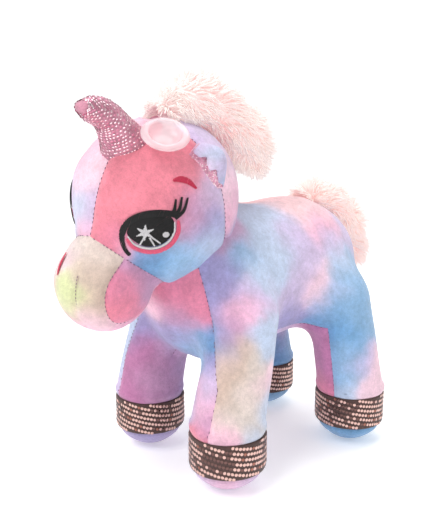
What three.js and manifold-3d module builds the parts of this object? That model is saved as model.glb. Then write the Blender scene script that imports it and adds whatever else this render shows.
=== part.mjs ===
// A standing plush unicorn, 226 mm tall at the mane: stuffed fabric panels, sequinned hooves and horn,
// and a clear hanging cup on a loop. Millimetres, +Z up, nose towards -Y, the animal's left side at +X.
import * as THREE from "three";
import { mergeVertices } from "three/addons/utils/BufferGeometryUtils.js";
import Module from "manifold-3d";

const wasm = await Module();
wasm.setup();

// ---------- driving dimensions ----------
const FRAME_SHIFT = 11.6; // puts the origin under the middle of the whole toy
const GAP = 0.3; // between neighbouring solids
const CLOTH = 2; // thickness of the plush fabric with its pile
const THREAD = 0.8; // thickness of the embroidery

const CHEST = { centre: [0, -30, 107], radii: [41, 42, 46] };
const WAIST = { centre: [0, 0, 110], radii: [38, 46, 40] };
const RUMP = { centre: [0, 30, 112], radii: [43, 46, 42] };
const BELLY_HALF_WIDTH = 22;
const BELLY_TOP = 90;
const CHEST_TOP = 140;
const CHEST_BACK = -48;

const NECK_PIVOT = [0, -50, 136];
const NECK_RADIUS = 19;
const SOCKET_GAP = 2.2; // between a faceted ball and the faceted socket that it turns in

const HEAD_CENTRE = [0, -70, 157.5];
const HEAD_PITCH = THREE.MathUtils.degToRad(20); // nose down
const HEAD_YAW = THREE.MathUtils.degToRad(12); // turned to its left
const HEAD_ROLL = THREE.MathUtils.degToRad(10); // leaning to its left
const SKULL = { centre: [0, 0, 0], radii: [42.5, 44.5, 44.5] };
const MUZZLE = { centre: [0, -47, -27.5], radii: [23.5, 24.5, 25] };
const NECK_CLEARANCE = 6; // room for the head to turn and nod over the body
const HEAD_BACK_SEAM = 10;
const MUZZLE_SEAM = 38.5; // distance of the seam round the muzzle from the middle of the skull
const JAW_SEAM = 18.5; // half the width of the muzzle panel

const HORN_BASE = [0, -17, 37];
const HORN_BEND = [0, -23.8, 54.6];
const HORN_TIP = [0, -35.5, 63.3];
const HORN_RADII = [12.5, 8, 5.5];

const EYE = { azimuth: 41, elevation: 7, halfWidth: 17, halfHeight: 13.5 };
const BROW = { azimuth: 70, elevation: 33, halfWidth: 8, halfHeight: 2.2 };
const NOSTRIL = { x: -13, z: -18, halfWidth: 1.2, halfHeight: 4.5 };

const EAR_ROOT = [27, 6, 34.8];
const EAR_LENGTH = 27;
const EAR_WIDTH = 22;
const EAR_ALONG = [0.5, 0.3, -0.8]; // from the left ear's root to its tip
const EAR_OUT = [0.86, -0.5, 0.43];
const EAR_LIFT = 4; // from the root to the back of the lining
const EAR_OUTER = 3.2;
const EAR_LINING = 1.4;

const MANE_HALF_WIDTH = 12;
const TAIL_HALF_WIDTH = 11;

const LEG_X = { front: 37.4, hind: 39.5 };
const FOOT_Y = { front: -51, hind: 51 };
const HIP_Y = { front: -39, hind: 38.5 };
const HIP_Z = 92;
const HIP_RADIUS = 18;
const HOOF_RADIUS = 21.5;
const BAND_TOP = 32;
const BAND_BOTTOM = 13.5;
const BAND_THICKNESS = 1.8;
const SOLE_ROUND = 10;
const LEG_SWING = THREE.MathUtils.degToRad(12);

const CUP_RADIUS = 12;
const CUP_DEPTH = 5;
const CUP_WALL = 1.3;
const CUP_NECK_RADIUS = 2.4;
const CUP_NECK_LENGTH = 3;
const CUP_KNOB_RADIUS = 4.2;
const CUP_KNOB_LENGTH = 1.6;
const CUP_MOUTH = [22.5, -9.2, 45.8];
const CUP_AZIMUTH = 76;
const CUP_ELEVATION = 67;
const STRAP_WIDTH = 7;
const STRAP_THICKNESS = 1.2;
const STRAP_BEND = [13, 2.5, 44.6];
const STRAP_ANCHOR = [3, 10.5, 44.9];

// ---------- turning geometries into solids and back ----------
function place(geometry, matrix) {
  const placed = geometry.clone();
  placed.applyMatrix4(matrix);
  return placed;
}

function solidOf(geometry) {
  const bare = geometry.clone();
  for (const name of Object.keys(bare.attributes)) {
    if (name !== "position") bare.deleteAttribute(name);
  }
  const merged = mergeVertices(bare, 1e-4);
  const vertProperties = new Float32Array(merged.attributes.position.array);
  const triVerts = new Uint32Array(merged.index.array);
  return new wasm.Manifold(new wasm.Mesh({ numProp: 3, vertProperties, triVerts }));
}

function geometryOf(solid) {
  const mesh = solid.getMesh();
  const geometry = new THREE.BufferGeometry();
  geometry.setAttribute("position", new THREE.BufferAttribute(mesh.vertProperties, 3));
  geometry.setIndex(new THREE.BufferAttribute(mesh.triVerts, 1));
  geometry.computeVertexNormals();
  return geometry;
}

function vector(point) {
  return new THREE.Vector3(...point);
}

function translation(point) {
  return new THREE.Matrix4().makeTranslation(...point);
}

// Turns +Z onto a direction and moves the origin to a point.
function aimed(point, direction) {
  const turn = new THREE.Quaternion().setFromUnitVectors(
    new THREE.Vector3(0, 0, 1),
    direction.clone().normalize(),
  );
  return new THREE.Matrix4().compose(vector(point), turn, new THREE.Vector3(1, 1, 1));
}

// An ellipsoid, larger by grow all round.
function ellipsoid(shape, grow = 0, around = 16, rings = 10) {
  const matrix = translation(shape.centre).scale(
    new THREE.Vector3(...shape.radii.map((radius) => radius + grow)),
  );
  return solidOf(place(new THREE.SphereGeometry(1, around, rings), matrix));
}

function ball(centre, radius, around = 12, rings = 8) {
  return ellipsoid({ centre, radii: [radius, radius, radius] }, 0, around, rings);
}

// A cone with rounded ends: two balls and the surface tangent to both.
function roundCone(from, to, startRadius, endRadius, around = 12) {
  const axis = vector(to).sub(vector(from));
  const length = axis.length();
  const slope = Math.asin((startRadius - endRadius) / length);
  const steps = 3;
  const profile = [];
  for (let i = 0; i <= steps; i += 1) {
    const angle = -Math.PI / 2 + (i / steps) * (Math.PI / 2 + slope);
    profile.push(new THREE.Vector2(startRadius * Math.cos(angle), startRadius * Math.sin(angle)));
  }
  for (let i = 0; i <= steps; i += 1) {
    const angle = slope + (i / steps) * (Math.PI / 2 - slope);
    profile.push(new THREE.Vector2(endRadius * Math.cos(angle), length + endRadius * Math.sin(angle)));
  }
  profile[0].x = 0;
  profile[profile.length - 1].x = 0;
  return lathe(profile, around, aimed(from, axis));
}

// A solid of revolution about +Z from a profile of (radius, height) points.
function lathe(profile, around, matrix = new THREE.Matrix4()) {
  const upright = new THREE.Matrix4().makeRotationX(Math.PI / 2);
  const geometry = place(new THREE.LatheGeometry(profile, around), upright);
  return solidOf(place(geometry, matrix));
}

function profileOf(points) {
  return points.map(([radius, height]) => new THREE.Vector2(radius, height));
}

function box(low, high) {
  const size = high.map((value, i) => value - low[i]);
  const middle = high.map((value, i) => (value + low[i]) / 2);
  return solidOf(place(new THREE.BoxGeometry(...size), translation(middle)));
}

const FAR = 300;

// Half of space on one side of a plane across X, Y or Z, as a large box.
function above(axis, value) {
  const low = [-FAR, -FAR, -FAR];
  low[axis] = value;
  return box(low, [FAR, FAR, FAR]);
}

function below(axis, value) {
  const high = [FAR, FAR, FAR];
  high[axis] = value;
  return box([-FAR, -FAR, -FAR], high);
}

function joined(solids) {
  return solids.reduce((sum, solid) => sum.add(solid));
}

function namedMesh(name, solid, material) {
  const mesh = new THREE.Mesh(geometryOf(solid), material);
  mesh.name = name;
  return mesh;
}

// ---------- materials ----------
function plush(color) {
  return new THREE.MeshStandardMaterial({ color, roughness: 0.95, metalness: 0 });
}

const stuffing = new THREE.MeshStandardMaterial({ color: 0xf6f3ee, roughness: 1, metalness: 0 });
const sequins = new THREE.MeshStandardMaterial({ color: 0x8a6156, roughness: 0.3, metalness: 0.8 });
const glitter = new THREE.MeshStandardMaterial({ color: 0xd9a6bd, roughness: 0.35, metalness: 0.5 });
const fur = new THREE.MeshStandardMaterial({ color: 0xf9dcd8, roughness: 1, metalness: 0 });
const blackThread = new THREE.MeshStandardMaterial({ color: 0x14100f, roughness: 0.7, metalness: 0 });
const redThread = new THREE.MeshStandardMaterial({ color: 0xc8364f, roughness: 0.6, metalness: 0 });
const clearVinyl = new THREE.MeshStandardMaterial({ color: 0xf7eee9, roughness: 0.25, metalness: 0 });
clearVinyl.transparent = true;
clearVinyl.opacity = 0.6;

const group = new THREE.Group();

// ---------- the legs ----------
const LEGS = [
  { name: "leg_front_left", side: 1, end: "front", outer: 0xe6c9d2, inner: 0xe79cb8, sole: 0xd3a8dc },
  { name: "leg_front_right", side: -1, end: "front", outer: 0xb7a3d6, inner: 0xc98fbf, sole: 0xbfa6dd },
  { name: "leg_hind_left", side: 1, end: "hind", outer: 0x8fb8e8, inner: 0xdd8fc6, sole: 0x79b8e6 },
  { name: "leg_hind_right", side: -1, end: "hind", outer: 0x8fb8e8, inner: 0x7fb4e2, sole: 0x9cc4ea },
];

function hipOf(leg) {
  return [leg.side * LEG_X[leg.end], HIP_Y[leg.end], HIP_Z];
}

function ankleOf(leg) {
  return [leg.side * LEG_X[leg.end], FOOT_Y[leg.end], BAND_TOP];
}

// The hoof from the floor up to a height, with its lower rim rounded.
function hoofSolid(leg, top, inset) {
  const radius = HOOF_RADIUS - inset;
  const round = SOLE_ROUND;
  const profile = [new THREE.Vector2(0, 0), new THREE.Vector2(radius - round, 0)];
  const steps = 3;
  for (let i = 1; i <= steps; i += 1) {
    const angle = (i / steps) * (Math.PI / 2);
    const x = radius - round + round * Math.sin(angle);
    profile.push(new THREE.Vector2(x, round - round * Math.cos(angle)));
  }
  profile.push(new THREE.Vector2(radius, top), new THREE.Vector2(0, top));
  return lathe(profile, 16, translation([leg.side * LEG_X[leg.end], FOOT_Y[leg.end], 0]));
}

function legLimb(leg, inset, bottom) {
  const limb = roundCone(hipOf(leg), ankleOf(leg), HIP_RADIUS - inset, HOOF_RADIUS - inset);
  return limb.intersect(above(2, bottom));
}

// All the room that a leg needs as it swings, as one wide cone about the hip.
function legSweep(leg) {
  const hip = vector(hipOf(leg));
  const ankle = vector(ankleOf(leg));
  const length = ankle.distanceTo(hip);
  const low = HOOF_RADIUS + SOCKET_GAP + length * Math.tan(LEG_SWING);
  return roundCone(hipOf(leg), ankleOf(leg), HIP_RADIUS + SOCKET_GAP, low);
}

function addLeg(leg) {
  const core = legLimb(leg, CLOTH + GAP, BAND_TOP - 2);
  const foot = hoofSolid(leg, BAND_TOP, BAND_THICKNESS + GAP).intersect(above(2, BAND_BOTTOM));
  const skin = legLimb(leg, 0, BAND_TOP + GAP).subtract(legLimb(leg, CLOTH, BAND_TOP));
  const seam = leg.side * LEG_X[leg.end];
  const outward = leg.side > 0 ? above(0, seam + GAP / 2) : below(0, seam - GAP / 2);
  const inward = leg.side > 0 ? below(0, seam - GAP / 2) : above(0, seam + GAP / 2);
  const ring = hoofSolid(leg, BAND_TOP, 0)
    .intersect(above(2, BAND_BOTTOM))
    .subtract(hoofSolid(leg, BAND_TOP + 5, BAND_THICKNESS));
  const sole = hoofSolid(leg, BAND_BOTTOM - GAP, 0);
  group.add(namedMesh(`${leg.name}_stuffing`, core.add(foot), stuffing.clone()));
  group.add(namedMesh(`${leg.name}_outer_panel`, skin.intersect(outward), plush(leg.outer)));
  group.add(namedMesh(`${leg.name}_inner_panel`, skin.intersect(inward), plush(leg.inner)));
  group.add(namedMesh(`${leg.name}_hoof_band`, ring, sequins.clone()));
  group.add(namedMesh(`${leg.name}_sole`, sole, plush(leg.sole)));
}

// ---------- the body ----------
function bodySolid(grow) {
  return joined([ellipsoid(CHEST, grow), ellipsoid(WAIST, grow), ellipsoid(RUMP, grow)]);
}

function headMatrix() {
  const angles = new THREE.Euler(HEAD_PITCH, HEAD_ROLL, HEAD_YAW, "ZYX");
  const turn = new THREE.Quaternion().setFromEuler(angles);
  return new THREE.Matrix4().compose(vector(HEAD_CENTRE), turn, new THREE.Vector3(1, 1, 1));
}

// The skull, larger by the room that it needs over the body, in the body's frame.
function headRoom() {
  const reach = SKULL.radii.map((radius) => radius + NECK_CLEARANCE);
  const matrix = headMatrix().scale(new THREE.Vector3(...reach));
  return solidOf(place(new THREE.SphereGeometry(1, 16, 10), matrix));
}

function addBody() {
  const room = joined([headRoom(), ...LEGS.map(legSweep)]);
  const skin = bodySolid(0).subtract(bodySolid(-CLOTH)).subtract(room);
  const core = bodySolid(-CLOTH - GAP).subtract(room).subtract(ball(NECK_PIVOT, NECK_RADIUS + SOCKET_GAP));
  const half = BELLY_HALF_WIDTH;
  const belly = box([-half, CHEST_BACK, -FAR], [half, FAR, BELLY_TOP]);
  const chest = box([-half, -FAR, -FAR], [half, CHEST_BACK - GAP, CHEST_TOP]);
  const wide = half + GAP;
  const seams = box([-wide, CHEST_BACK - GAP, -FAR], [wide, FAR, BELLY_TOP + GAP]).add(
    box([-wide, -FAR, -FAR], [wide, CHEST_BACK, CHEST_TOP + GAP]),
  );
  const sides = skin.subtract(seams);
  group.add(namedMesh("torso_stuffing", core, stuffing.clone()));
  group.add(namedMesh("body_panel_left", sides.intersect(above(0, GAP / 2)), plush(0xb9b6e2)));
  group.add(namedMesh("body_panel_right", sides.intersect(below(0, -GAP / 2)), plush(0xd9a9d6)));
  group.add(namedMesh("belly_gusset", skin.intersect(belly), plush(0xa9b4e4)));
  group.add(namedMesh("chest_panel", skin.intersect(chest), plush(0xdf9cc0)));
  group.add(namedMesh("neck_stuffing", ball(NECK_PIVOT, NECK_RADIUS), stuffing.clone()));
}

// The tail: a pad of long fur sewn along the middle of the rump.
function addTail() {
  const upper = roundCone([0, 62, 150], [0, 80, 142], TAIL_HALF_WIDTH - 2, TAIL_HALF_WIDTH + 2);
  const lower = roundCone([0, 80, 142], [0, 98.8, 112], TAIL_HALF_WIDTH + 2, TAIL_HALF_WIDTH - 3);
  const tail = upper.add(lower).subtract(bodySolid(GAP + 1));
  group.add(namedMesh("tail_fur", tail, fur.clone()));
}

// ---------- the head, in its own frame ----------
const head = new THREE.Group();
head.position.set(...HEAD_CENTRE);
head.rotation.set(HEAD_PITCH, HEAD_ROLL, HEAD_YAW, "ZYX");

function headSolid(grow) {
  return ellipsoid(SKULL, grow).add(ellipsoid(MUZZLE, grow));
}

// The largest body of a solid, without the slivers that a cut leaves.
function largest(solid) {
  return solid.decompose().sort((a, b) => b.volume() - a.volume())[0];
}

// Half of space on the face's side of the seam round the muzzle.
function muzzleSide(offset) {
  const middle = vector(MUZZLE.centre);
  const direction = middle.clone().normalize();
  const seam = direction.clone().multiplyScalar(MUZZLE_SEAM + offset);
  const half = place(new THREE.BoxGeometry(FAR, FAR, FAR), translation([0, 0, FAR / 2]));
  return solidOf(place(half, aimed(seam.toArray(), direction)));
}

function addHeadPanels() {
  const skin = headSolid(0).subtract(headSolid(-CLOTH)).subtract(knobDent(3));
  const pivot = vector(NECK_PIVOT).applyMatrix4(headMatrix().invert());
  const socket = ball(pivot.toArray(), NECK_RADIUS + SOCKET_GAP);
  const core = headSolid(-CLOTH - GAP).subtract(socket).subtract(knobDent(2.5));
  const throat = [pivot.x, pivot.y + 15, pivot.z - 30];
  const neckHole = roundCone(pivot.toArray(), throat, NECK_RADIUS + 1, NECK_RADIUS + 5);
  const front = skin.intersect(muzzleSide(GAP / 2));
  const rest = skin.subtract(muzzleSide(-GAP / 2)).subtract(neckHole);
  const face = rest.intersect(below(1, HEAD_BACK_SEAM - GAP / 2));
  const back = rest.intersect(above(1, HEAD_BACK_SEAM + GAP / 2));
  const left = above(0, GAP / 2);
  const right = below(0, -GAP / 2);
  const snout = front.intersect(above(0, -JAW_SEAM)).intersect(below(0, JAW_SEAM));
  head.add(namedMesh("head_stuffing", core, stuffing.clone()));
  head.add(namedMesh("face_panel_left", face.intersect(left), plush(0xee7f9f)));
  head.add(namedMesh("face_panel_right", face.intersect(right), plush(0xe3b4d8)));
  head.add(namedMesh("head_back_panel_left", back.intersect(left), plush(0xe2a4d4)));
  head.add(namedMesh("head_back_panel_right", back.intersect(right), plush(0xe2a4d4)));
  head.add(namedMesh("muzzle_panel", snout, plush(0xd9d3c8)));
  const jawLeft = largest(front.intersect(above(0, JAW_SEAM + GAP)));
  const jawRight = largest(front.intersect(below(0, -JAW_SEAM - GAP)));
  head.add(namedMesh("jaw_panel_left", jawLeft, plush(0xe98fac)));
  head.add(namedMesh("jaw_panel_right", jawRight, plush(0xe98fac)));
}

// ---------- the horn ----------
function hornSolid(inset) {
  const [base, bend, tip] = HORN_RADII.map((radius) => radius - inset);
  const lower = roundCone(HORN_BASE, HORN_BEND, base, bend, 10);
  return lower.add(roundCone(HORN_BEND, HORN_TIP, bend, tip, 10));
}

function addHorn() {
  const foot = ellipsoid(SKULL, GAP);
  const cover = hornSolid(0).subtract(foot).subtract(hornSolid(CLOTH));
  const core = hornSolid(CLOTH + GAP).subtract(foot);
  head.add(namedMesh("horn_cover", cover, glitter.clone()));
  head.add(namedMesh("horn_stuffing", core, stuffing.clone()));
}

// ---------- the embroidery ----------
// A direction out of the head: azimuth from the nose towards one side, and elevation, in degrees.
function outward(side, azimuth, elevation) {
  const a = THREE.MathUtils.degToRad(azimuth);
  const e = THREE.MathUtils.degToRad(elevation);
  return new THREE.Vector3(side * Math.sin(a) * Math.cos(e), -Math.cos(a) * Math.cos(e), Math.sin(e));
}

// A patch of thread that lies on the cheek inside an oval seen along a direction.
function patch(side, oval) {
  const direction = outward(side, oval.azimuth, oval.elevation);
  const layer = ellipsoid(SKULL, GAP + THREAD).subtract(ellipsoid(SKULL, GAP));
  const matrix = aimed([0, 0, 0], direction).multiply(new THREE.Matrix4().makeRotationX(Math.PI / 2));
  const punch = new THREE.CylinderGeometry(1, 1, 60, 12);
  punch.scale(oval.halfWidth, 1, oval.halfHeight);
  punch.translate(0, 40, 0);
  return layer.intersect(solidOf(place(punch, matrix)));
}

function addEmbroidery(side, word) {
  head.add(namedMesh(`eye_embroidery_${word}`, patch(side, EYE), blackThread.clone()));
  head.add(namedMesh(`eyebrow_embroidery_${word}`, patch(side, BROW), redThread.clone()));
}

// The one nostril that is stitched, on the right of the muzzle.
function addNostril() {
  const layer = ellipsoid(MUZZLE, GAP + THREAD).subtract(ellipsoid(MUZZLE, GAP));
  const { x, z, halfWidth, halfHeight } = NOSTRIL;
  const window = box(
    [x - halfWidth, -FAR, z - halfHeight],
    [x + halfWidth, MUZZLE.centre[1], z + halfHeight],
  );
  head.add(namedMesh("nostril_embroidery_right", layer.intersect(window), redThread.clone()));
}

// ---------- the ears ----------
// The ear's leaf outline from its root at the origin to its tip at +Y.
function earOutline(length, width) {
  const outline = new THREE.Shape();
  outline.moveTo(-width * 0.36, 0);
  outline.quadraticCurveTo(-width * 0.62, length * 0.5, 0, length);
  outline.quadraticCurveTo(width * 0.62, length * 0.5, width * 0.36, 0);
  outline.closePath();
  return outline;
}

function earLeaf(length, width, depth, lift) {
  const shape = earOutline(length, width);
  const geometry = new THREE.ExtrudeGeometry(shape, { depth, bevelEnabled: false, curveSegments: 8 });
  geometry.translate(0, 0, lift);
  return geometry;
}

// The ear's frame: +Y from its root to its tip, +Z out of its plush side.
function earMatrix(side) {
  const along = vector(EAR_ALONG).normalize();
  const out = vector(EAR_OUT);
  for (const direction of [along, out]) direction.x *= side;
  out.addScaledVector(along, -out.dot(along)).normalize();
  const across = new THREE.Vector3().crossVectors(along, out);
  const basis = new THREE.Matrix4().makeBasis(across, along, out);
  return translation([side * EAR_ROOT[0], EAR_ROOT[1], EAR_ROOT[2]]).multiply(basis);
}

function addEar(side, word) {
  const matrix = earMatrix(side);
  const lining = earLeaf(EAR_LENGTH - 4, EAR_WIDTH - 5, EAR_LINING, EAR_LIFT);
  const outer = earLeaf(EAR_LENGTH, EAR_WIDTH, EAR_OUTER, EAR_LIFT + EAR_LINING + GAP);
  const room = ellipsoid(SKULL, 2);
  const liningSolid = solidOf(place(lining, matrix)).subtract(room);
  const outerSolid = solidOf(place(outer, matrix)).subtract(room);
  head.add(namedMesh(`ear_lining_${word}`, liningSolid, glitter.clone()));
  head.add(namedMesh(`ear_outer_${word}`, outerSolid, plush(0xd5c4ea)));
}

// ---------- the mane ----------
function addMane() {
  const crown = roundCone([0, 29, 44], [0, 50, 38], MANE_HALF_WIDTH, MANE_HALF_WIDTH + 5);
  const nape = roundCone([0, 50, 38], [0, 72, -2], MANE_HALF_WIDTH + 5, MANE_HALF_WIDTH + 1);
  const mane = crown.add(nape).subtract(ellipsoid(SKULL, GAP + 0.5));
  head.add(namedMesh("mane_fur", mane, fur.clone()));
}

// ---------- the hanging cup ----------
// The cup lies on the head with its mouth outwards and its knob pressed into the plush.
// Its frame has +Z out of the mouth, with the origin in the middle of the mouth.
function cupMatrix() {
  return aimed(CUP_MOUTH, outward(1, CUP_AZIMUTH, CUP_ELEVATION));
}

function knobCentre() {
  const behind = CUP_DEPTH + CUP_NECK_LENGTH + CUP_KNOB_LENGTH / 2;
  return new THREE.Vector3(0, 0, -behind).applyMatrix4(cupMatrix());
}

// The dent that the knob and the collar press into the head.
function knobDent(grow) {
  return ball(knobCentre().toArray(), CUP_KNOB_RADIUS + grow, 10, 6);
}

function cupSolid() {
  const neckEnd = -CUP_DEPTH - CUP_NECK_LENGTH;
  const knobEnd = neckEnd - CUP_KNOB_LENGTH;
  const outline = [
    [0, -CUP_DEPTH + CUP_WALL],
    [CUP_RADIUS * 0.35, -CUP_DEPTH * 0.9 + CUP_WALL],
    [CUP_RADIUS * 0.62, -CUP_DEPTH * 0.45 + CUP_WALL / 2],
    [CUP_RADIUS * 0.68, -0.4],
    [CUP_RADIUS * 0.72, 0],
    [CUP_RADIUS - 0.5, 0],
    [CUP_RADIUS, -0.6],
    [CUP_RADIUS * 0.7, -CUP_DEPTH * 0.62],
    [CUP_RADIUS * 0.36, -CUP_DEPTH],
    [CUP_NECK_RADIUS, -CUP_DEPTH],
    [CUP_NECK_RADIUS, neckEnd],
    [CUP_KNOB_RADIUS, neckEnd],
    [CUP_KNOB_RADIUS, knobEnd],
    [0, knobEnd],
  ];
  return lathe(profileOf(outline.reverse()), 20, cupMatrix());
}

// The clear strap: a collar round the cup's neck and a flat tab up to the seam in front of the mane.
function strapSolid() {
  const matrix = cupMatrix();
  const middle = -CUP_DEPTH - CUP_NECK_LENGTH / 2;
  const inside = CUP_NECK_RADIUS + GAP + 0.3;
  const outside = inside + 1.8;
  const half = STRAP_THICKNESS / 2;
  const ring = [
    [inside, middle - half],
    [outside, middle - half],
    [outside, middle + half],
    [inside, middle + half],
    [inside, middle - half],
  ];
  const collar = lathe(profileOf(ring), 16, matrix);
  const start = new THREE.Vector3(0, 0, middle).applyMatrix4(matrix);
  const edge = vector(STRAP_BEND).sub(start).setLength((inside + outside) / 2).add(start);
  const bend = vector(STRAP_BEND);
  return joined([collar, flatBar(edge, bend), flatBar(bend, vector(STRAP_ANCHOR))]);
}

// One straight length of the strap, lying flat on the head.
function flatBar(from, to) {
  const along = to.clone().sub(from);
  const length = along.length() + STRAP_THICKNESS / 2;
  along.normalize();
  const side = new THREE.Vector3().crossVectors(along, from.clone().add(to)).normalize();
  const flat = new THREE.Vector3().crossVectors(along, side);
  const bar = new THREE.BoxGeometry(STRAP_WIDTH, STRAP_THICKNESS, length);
  bar.translate(0, 0, length / 2);
  const turn = new THREE.Matrix4().makeBasis(side, flat, along);
  return solidOf(place(bar, translation(from.toArray()).multiply(turn)));
}

function addCup() {
  head.add(namedMesh("suction_cup", cupSolid(), clearVinyl.clone()));
  head.add(namedMesh("cup_strap", strapSolid(), clearVinyl.clone()));
}

addBody();
addTail();
LEGS.forEach(addLeg);
addHeadPanels();
addHorn();
for (const [side, word] of [[1, "left"], [-1, "right"]]) {
  addEmbroidery(side, word);
  addEar(side, word);
}
addNostril();
addMane();
addCup();
group.add(head);
group.position.set(0, FRAME_SHIFT, 0);

export default group;
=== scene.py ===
"""A standing plush unicorn: tie-dyed plush panels, sequinned horn and hooves, fur, and a clear cup.

Shapes are worked out in millimetres in the model's own frame and turned into metres as meshes are made.
+Z is up, the nose points towards -Y and the animal's left side is at +X.
"""

import itertools
import math

import bmesh
import bpy
import numpy as np
from mathutils import Matrix, Vector
from mathutils.kdtree import KDTree


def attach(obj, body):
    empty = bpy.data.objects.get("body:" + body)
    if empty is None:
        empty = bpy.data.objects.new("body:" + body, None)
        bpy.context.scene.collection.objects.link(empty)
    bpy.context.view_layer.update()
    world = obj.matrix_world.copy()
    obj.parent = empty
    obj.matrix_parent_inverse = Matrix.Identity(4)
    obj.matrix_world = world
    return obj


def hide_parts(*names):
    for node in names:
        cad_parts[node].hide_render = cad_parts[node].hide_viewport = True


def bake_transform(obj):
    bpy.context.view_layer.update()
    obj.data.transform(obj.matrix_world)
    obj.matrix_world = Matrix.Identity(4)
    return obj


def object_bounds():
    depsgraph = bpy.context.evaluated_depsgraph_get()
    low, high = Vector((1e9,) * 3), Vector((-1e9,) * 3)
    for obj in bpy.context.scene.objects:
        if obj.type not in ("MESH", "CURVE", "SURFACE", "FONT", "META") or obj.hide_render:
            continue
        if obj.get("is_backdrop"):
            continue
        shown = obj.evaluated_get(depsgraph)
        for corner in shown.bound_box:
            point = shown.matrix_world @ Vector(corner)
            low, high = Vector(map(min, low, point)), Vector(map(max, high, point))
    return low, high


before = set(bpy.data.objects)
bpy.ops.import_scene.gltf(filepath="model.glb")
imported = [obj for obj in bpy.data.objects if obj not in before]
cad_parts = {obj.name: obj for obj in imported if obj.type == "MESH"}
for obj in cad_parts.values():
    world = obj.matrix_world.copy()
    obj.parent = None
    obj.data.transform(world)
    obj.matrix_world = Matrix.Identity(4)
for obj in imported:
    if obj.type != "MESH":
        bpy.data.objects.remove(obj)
cad_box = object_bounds()

MM = 0.001
RANDOM = np.random.default_rng(7)

# ---------- camera ----------
CAMERA_AZIMUTH = 49.97
CAMERA_ELEVATION = 10.51
CAMERA_DISTANCE = 422.9
CAMERA_TARGET = (-16.8, -3.0, 114.2)
CAMERA_LENS = 46.54

# ---------- dimensions ----------
CHEST = ((0, -18.4, 107), (41, 42, 46))
RUMP = ((0, 41.6, 112), (43, 46, 42))
NECK = ((0, -32.4, 118), (0, -43.4, 140), 35, 31)

HEAD_CENTRE = np.array([0.0, -58.4, 157.5])
HEAD_PITCH = 20
HEAD_ROLL = 10
HEAD_YAW = 12
SKULL_RADII = (42, 44, 43.5)
MUZZLE = ((0, -45, -28), (23.5, 25, 24.5))
MUZZLE_SEAM_NORMAL = (0.127, -0.768, -0.628)
MUZZLE_SEAM = 36.33
MUZZLE_HALF_WIDTH = 18.5
HEAD_BACK_SEAM = 8.5
DART_X = 5.2

LEG_X = {"front": 37.4, "hind": 39.5}
FOOT_Y = {"front": -39.4, "hind": 62.6}
HIP_Y = {"front": -27.4, "hind": 50.1}
HIP_Z = 92
BAND_BOTTOM = 13.5
BAND_TOP = 32
BAND_RADIUS = 20.9
SEQUIN_PITCH = 2.0
SEQUIN_RADIUS = 0.95
ROW_PITCH = 2.95
ROW_SLANT = 0.2
ROW_FACING = math.radians(-40)
HOOF_CROWN = 17
HOOF_WALL_TOP = 36
HOOF_POWER = 1.9
FRONT_HIND_SPLIT = 11.6
LEG_TOP = 60
LEG_SEAM = {"front": 6.6, "hind": 4.5}

CHEST_SEAM = ((29, 125), (36, 83), (44, 60))
CHEST_BACK = -36
BELLY_TOP = 78

# ---------- palette ----------
PALETTE = {
    "coral": (232, 136, 152),
    "rose": (224, 136, 164),
    "mauve": (196, 152, 186),
    "magenta": (190, 124, 166),
    "pink": (236, 182, 206),
    "pale_pink": (246, 208, 222),
    "lilac": (210, 192, 224),
    "violet": (160, 154, 200),
    "sky": (144, 182, 218),
    "blue": (104, 154, 200),
    "ice": (196, 210, 234),
    "peach": (250, 210, 214),
    "cream": (222, 208, 200),
    "beige": (206, 182, 168),
    "lime": (214, 222, 168),
    "white": (250, 242, 238),
}


def linear(rgb):
    c = np.asarray(rgb, float) / 255
    return np.where(c <= 0.04045, c / 12.92, ((c + 0.055) / 1.055) ** 2.4)


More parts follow.
